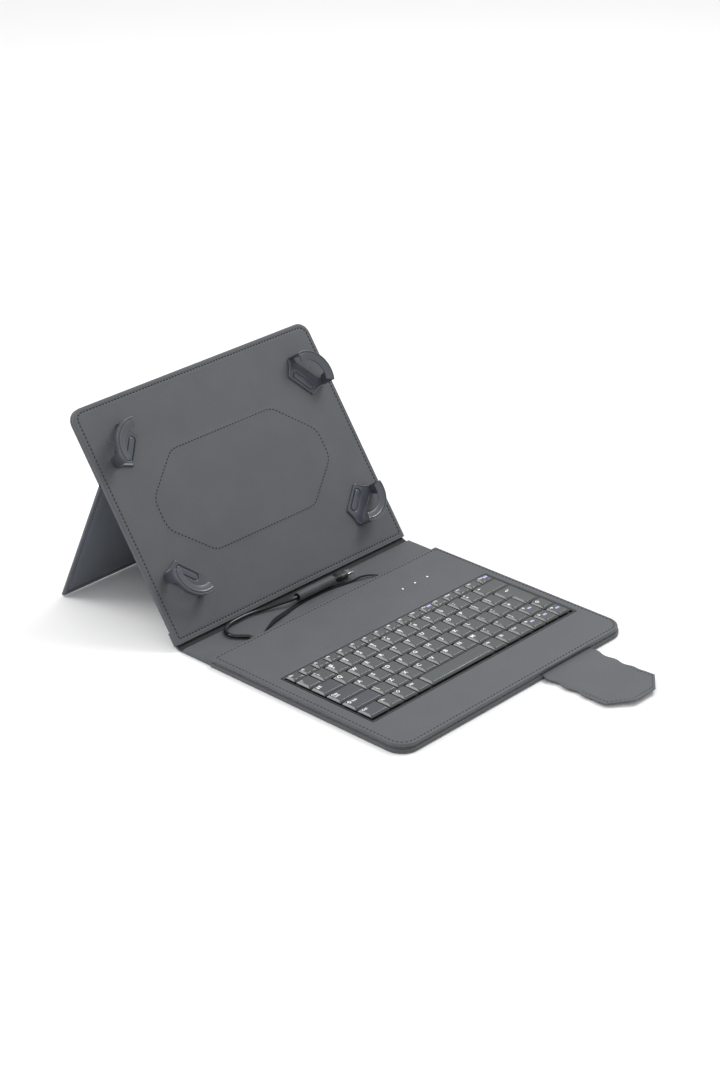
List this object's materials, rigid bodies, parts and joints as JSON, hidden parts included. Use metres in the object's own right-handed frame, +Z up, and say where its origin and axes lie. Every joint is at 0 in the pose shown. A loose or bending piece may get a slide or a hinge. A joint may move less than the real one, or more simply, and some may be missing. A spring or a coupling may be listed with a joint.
{
  "type": "tablet keyboard case",
  "caption": "Leatherette folio case that holds a tablet in sliding corner clips on a leaning holder with a fold-out stand, over a small wired keyboard with a closure tab.",
  "frame": {"origin": "Centre of the case's footprint at table level, with the case open and standing.", "axes": "+X is the user's right, +Y points away from the user, from the closure tab to the stand's foot, and +Z is up."},
  "size_m": [0.265, 0.452, 0.1702],
  "materials": {
    "leatherette": "matte dark grey embossed leatherette",
    "leatherette_dark": "fine-grained dark blue-grey leatherette lining",
    "board": "grey-brown pressed board",
    "black_plastic": "matt black moulded plastic",
    "key_plastic": "satin dark grey key caps with pale printed legends",
    "steel": "plain steel",
    "membrane": "printed plastic film",
    "dome_rubber": "soft black rubber",
    "circuit_board": "green circuit board",
    "clear_lens": "clear light pipe",
    "clip_plastic": "glossy blue-grey moulded plastic",
    "elastic": "black woven elastic",
    "cable_jacket": "glossy black cable jacket",
    "plug_insulator": "black insulator",
    "magnet": "plated magnet"
  },
  "bodies": {
    "keyboard_half": {"base_cover": "leatherette", "base_board": "board", "tab_root": "leatherette", "tray_cover": "leatherette", "tray_frame": "board", "controller_board": "circuit_board", "indicator_light_pipe": "clear_lens", "lead_grommet": "black_plastic", "keyboard_back_plate": "steel", "membrane_circuit": "membrane", "keyboard_bezel": "black_plastic", "dome_sheet": "dome_rubber"},
    "tab_bridge": {"tab_bridge": "leatherette"},
    "tab_flap": {"tab_flap": "leatherette_dark", "tab_flap_lining": "leatherette", "tab_magnet": "magnet"},
    "spine": {"spine_cover": "leatherette", "spine_board": "board", "usb_lead": "cable_jacket", "lead_sleeve": "leatherette", "plug_grip": "black_plastic", "plug_shell": "steel", "plug_tongue": "plug_insulator", "lead_strap": "elastic"},
    "holder": {"holder_lining": "leatherette", "holder_board": "board", "holder_back_cover": "leatherette", "strike_plate": "steel", "holder_tail": "leatherette", "holder_back_lining": "leatherette_dark", "elastic_top_left": "elastic", "elastic_top_right": "elastic", "elastic_bottom_left": "elastic", "elastic_bottom_right": "elastic"},
    "clip_top_left": {"clip_top_left": "clip_plastic"},
    "clip_top_right": {"clip_top_right": "clip_plastic"},
    "clip_bottom_left": {"clip_bottom_left": "clip_plastic"},
    "clip_bottom_right": {"clip_bottom_right": "clip_plastic"},
    "stand": {"stand_cover": "leatherette", "stand_board": "leatherette_dark"},
    "escape_key_body": {"escape_key": "key_plastic"},
    "function_keys_body": {"function_keys": "key_plastic"},
    "number_keys_body": {"number_keys": "key_plastic"},
    "backspace_key_body": {"backspace_key": "key_plastic"},
    "tab_key_body": {"tab_key": "key_plastic"},
    "letter_keys_upper_body": {"letter_keys_upper": "key_plastic"},
    "enter_key_body": {"enter_key": "key_plastic"},
    "caps_lock_key_body": {"caps_lock_key": "key_plastic"},
    "letter_keys_middle_body": {"letter_keys_middle": "key_plastic"},
    "left_shift_key_body": {"left_shift_key": "key_plastic"},
    "letter_keys_lower_body": {"letter_keys_lower": "key_plastic"},
    "up_arrow_key_body": {"up_arrow_key": "key_plastic"},
    "right_shift_key_body": {"right_shift_key": "key_plastic"},
    "control_key_body": {"control_key": "key_plastic"},
    "modifier_keys_body": {"modifier_keys": "key_plastic"},
    "space_bar_body": {"space_bar": "key_plastic"},
    "menu_keys_body": {"menu_keys": "key_plastic"},
    "left_arrow_key_body": {"left_arrow_key": "key_plastic"},
    "down_arrow_key_body": {"down_arrow_key": "key_plastic"},
    "right_arrow_key_body": {"right_arrow_key": "key_plastic"}
  },
  "joints": [
    {"name": "spine_fold", "type": "hinge", "parent": "keyboard_half", "child": "spine", "pos_m": [0, 0.05396, 0.0043], "axis": [1, 0, 0], "range_deg": [0, 90], "deforming": ["usb_lead", "lead_strap"]},
    {"name": "holder_fold", "type": "hinge", "parent": "spine", "child": "holder", "pos_m": [0, 0.08676, 0.0043], "axis": [1, 0, 0], "range_deg": [-54, 39]},
    {"name": "stand_fold", "type": "hinge", "parent": "holder", "child": "stand", "pos_m": [0, 0.17303, 0.116], "axis": [1, 0, 0], "range_deg": [-59.4, 0]},
    {"name": "tab_fold", "type": "hinge", "parent": "keyboard_half", "child": "tab_bridge", "pos_m": [0.0572, -0.15044, 0.0042], "axis": [-1, 0, 0], "range_deg": [0, 90]},
    {"name": "tab_flap_fold", "type": "hinge", "parent": "tab_bridge", "child": "tab_flap", "pos_m": [0.0572, -0.18263, 0.0024], "axis": [-1, 0, 0], "range_deg": [0, 90]},
    {"name": "clip_top_left_slide", "type": "slide", "parent": "holder", "child": "clip_top_left", "axis": [-0.788, 0.3549, 0.5031], "range_m": [0, 0.015], "stiffness_N_per_m": 120, "springref_m": -0.01, "deforming": ["elastic_top_left"]},
    {"name": "clip_top_right_slide", "type": "slide", "parent": "holder", "child": "clip_top_right", "axis": [0.788, 0.3549, 0.5031], "range_m": [0, 0.015], "stiffness_N_per_m": 120, "springref_m": -0.01, "deforming": ["elastic_top_right"]},
    {"name": "clip_bottom_left_slide", "type": "slide", "parent": "holder", "child": "clip_bottom_left", "axis": [-0.6947, -0.4147, -0.5878], "range_m": [0, 0.015], "stiffness_N_per_m": 120, "springref_m": -0.01, "deforming": ["elastic_bottom_left"]},
    {"name": "clip_bottom_right_slide", "type": "slide", "parent": "holder", "child": "clip_bottom_right", "axis": [0.682, -0.4216, -0.5976], "range_m": [0, 0.015], "stiffness_N_per_m": 120, "springref_m": -0.01, "deforming": ["elastic_bottom_right"]},
    {"name": "escape_key_travel", "type": "slide", "parent": "keyboard_half", "child": "escape_key_body", "axis": [0, 0, -1], "range_m": [0, 0.0014], "stiffness_N_per_m": 350, "springref_m": -0.0004},
    {"name": "function_keys_travel", "type": "slide", "parent": "keyboard_half", "child": "function_keys_body", "axis": [0, 0, -1], "range_m": [0, 0.0014], "stiffness_N_per_m": 350, "springref_m": -0.0004},
    {"name": "number_keys_travel", "type": "slide", "parent": "keyboard_half", "child": "number_keys_body", "axis": [0, 0, -1], "range_m": [0, 0.0014], "stiffness_N_per_m": 350, "springref_m": -0.0004},
    {"name": "backspace_key_travel", "type": "slide", "parent": "keyboard_half", "child": "backspace_key_body", "axis": [0, 0, -1], "range_m": [0, 0.0014], "stiffness_N_per_m": 350, "springref_m": -0.0004},
    {"name": "tab_key_travel", "type": "slide", "parent": "keyboard_half", "child": "tab_key_body", "axis": [0, 0, -1], "range_m": [0, 0.0014], "stiffness_N_per_m": 350, "springref_m": -0.0004},
    {"name": "letter_keys_upper_travel", "type": "slide", "parent": "keyboard_half", "child": "letter_keys_upper_body", "axis": [0, 0, -1], "range_m": [0, 0.0014], "stiffness_N_per_m": 350, "springref_m": -0.0004},
    {"name": "enter_key_travel", "type": "slide", "parent": "keyboard_half", "child": "enter_key_body", "axis": [0, 0, -1], "range_m": [0, 0.0014], "stiffness_N_per_m": 350, "springref_m": -0.0004},
    {"name": "caps_lock_key_travel", "type": "slide", "parent": "keyboard_half", "child": "caps_lock_key_body", "axis": [0, 0, -1], "range_m": [0, 0.0014], "stiffness_N_per_m": 350, "springref_m": -0.0004},
    {"name": "letter_keys_middle_travel", "type": "slide", "parent": "keyboard_half", "child": "letter_keys_middle_body", "axis": [0, 0, -1], "range_m": [0, 0.0014], "stiffness_N_per_m": 350, "springref_m": -0.0004},
    {"name": "left_shift_key_travel", "type": "slide", "parent": "keyboard_half", "child": "left_shift_key_body", "axis": [0, 0, -1], "range_m": [0, 0.0014], "stiffness_N_per_m": 350, "springref_m": -0.0004},
    {"name": "letter_keys_lower_travel", "type": "slide", "parent": "keyboard_half", "child": "letter_keys_lower_body", "axis": [0, 0, -1], "range_m": [0, 0.0014], "stiffness_N_per_m": 350, "springref_m": -0.0004},
    {"name": "up_arrow_key_travel", "type": "slide", "parent": "keyboard_half", "child": "up_arrow_key_body", "axis": [0, 0, -1], "range_m": [0, 0.0014], "stiffness_N_per_m": 350, "springref_m": -0.0004},
    {"name": "right_shift_key_travel", "type": "slide", "parent": "keyboard_half", "child": "right_shift_key_body", "axis": [0, 0, -1], "range_m": [0, 0.0014], "stiffness_N_per_m": 350, "springref_m": -0.0004},
    {"name": "control_key_travel", "type": "slide", "parent": "keyboard_half", "child": "control_key_body", "axis": [0, 0, -1], "range_m": [0, 0.0014], "stiffness_N_per_m": 350, "springref_m": -0.0004},
    {"name": "modifier_keys_travel", "type": "slide", "parent": "keyboard_half", "child": "modifier_keys_body", "axis": [0, 0, -1], "range_m": [0, 0.0014], "stiffness_N_per_m": 350, "springref_m": -0.0004},
    {"name": "space_bar_travel", "type": "slide", "parent": "keyboard_half", "child": "space_bar_body", "axis": [0, 0, -1], "range_m": [0, 0.0014], "stiffness_N_per_m": 350, "springref_m": -0.0004},
    {"name": "menu_keys_travel", "type": "slide", "parent": "keyboard_half", "child": "menu_keys_body", "axis": [0, 0, -1], "range_m": [0, 0.0014], "stiffness_N_per_m": 350, "springref_m": -0.0004},
    {"name": "left_arrow_key_travel", "type": "slide", "parent": "keyboard_half", "child": "left_arrow_key_body", "axis": [0, 0, -1], "range_m": [0, 0.0014], "stiffness_N_per_m": 350, "springref_m": -0.0004},
    {"name": "down_arrow_key_travel", "type": "slide", "parent": "keyboard_half", "child": "down_arrow_key_body", "axis": [0, 0, -1], "range_m": [0, 0.0014], "stiffness_N_per_m": 350, "springref_m": -0.0004},
    {"name": "right_arrow_key_travel", "type": "slide", "parent": "keyboard_half", "child": "right_arrow_key_body", "axis": [0, 0, -1], "range_m": [0, 0.0014], "stiffness_N_per_m": 350, "springref_m": -0.0004}
  ]
}
